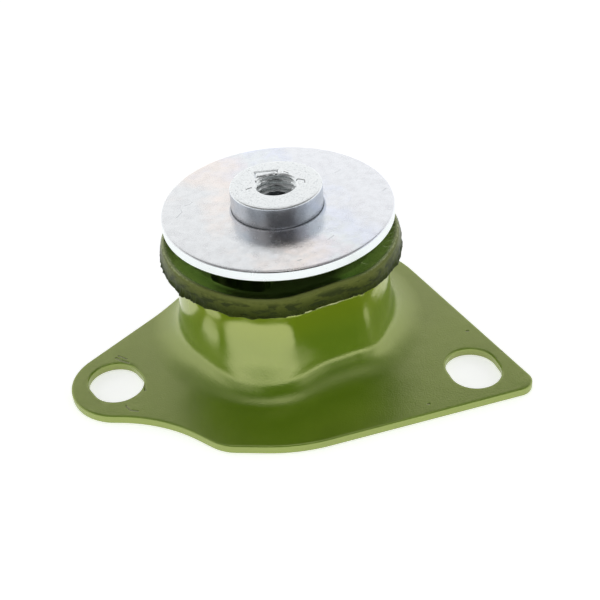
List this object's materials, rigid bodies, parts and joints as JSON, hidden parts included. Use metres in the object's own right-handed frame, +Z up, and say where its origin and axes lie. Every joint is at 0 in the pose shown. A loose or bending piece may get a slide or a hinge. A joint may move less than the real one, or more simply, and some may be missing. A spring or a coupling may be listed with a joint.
{
  "type": "transmission mount",
  "caption": "Bonded rubber mount: pressed bracket plate with slotted ears and an upright cup, rubber body with a rolled lip, threaded steel core and a round stop disc.",
  "frame": {"origin": "on the core's axis, in the plane of the bracket plate's underside", "axes": "+Z up along the core's axis, out of the threaded bore; +X along the line of the two slots, towards the pointed ear; -Y towards the front edge, the side of the slots"},
  "size_m": [0.0998, 0.0742, 0.0385],
  "materials": {
    "green_finish": "glossy green finish over pressed steel",
    "rubber": "moulded rubber with a thin green overspray",
    "core_steel": "turned steel with bright plating",
    "zinc_plate": "bright zinc plating with a faint iridescent tint"
  },
  "bodies": {
    "bracket": {"flange_cup": "green_finish", "rubber_body": "rubber"},
    "core": {"core_bush": "core_steel", "stop_disc": "zinc_plate"}
  },
  "joints": [
    {"name": "core_travel", "type": "slide", "parent": "bracket", "child": "core", "axis": [0, 0, 1], "range_m": [-0.0038, 0.003], "stiffness_N_per_m": 200000, "deforming": ["rubber_body"]}
  ]
}
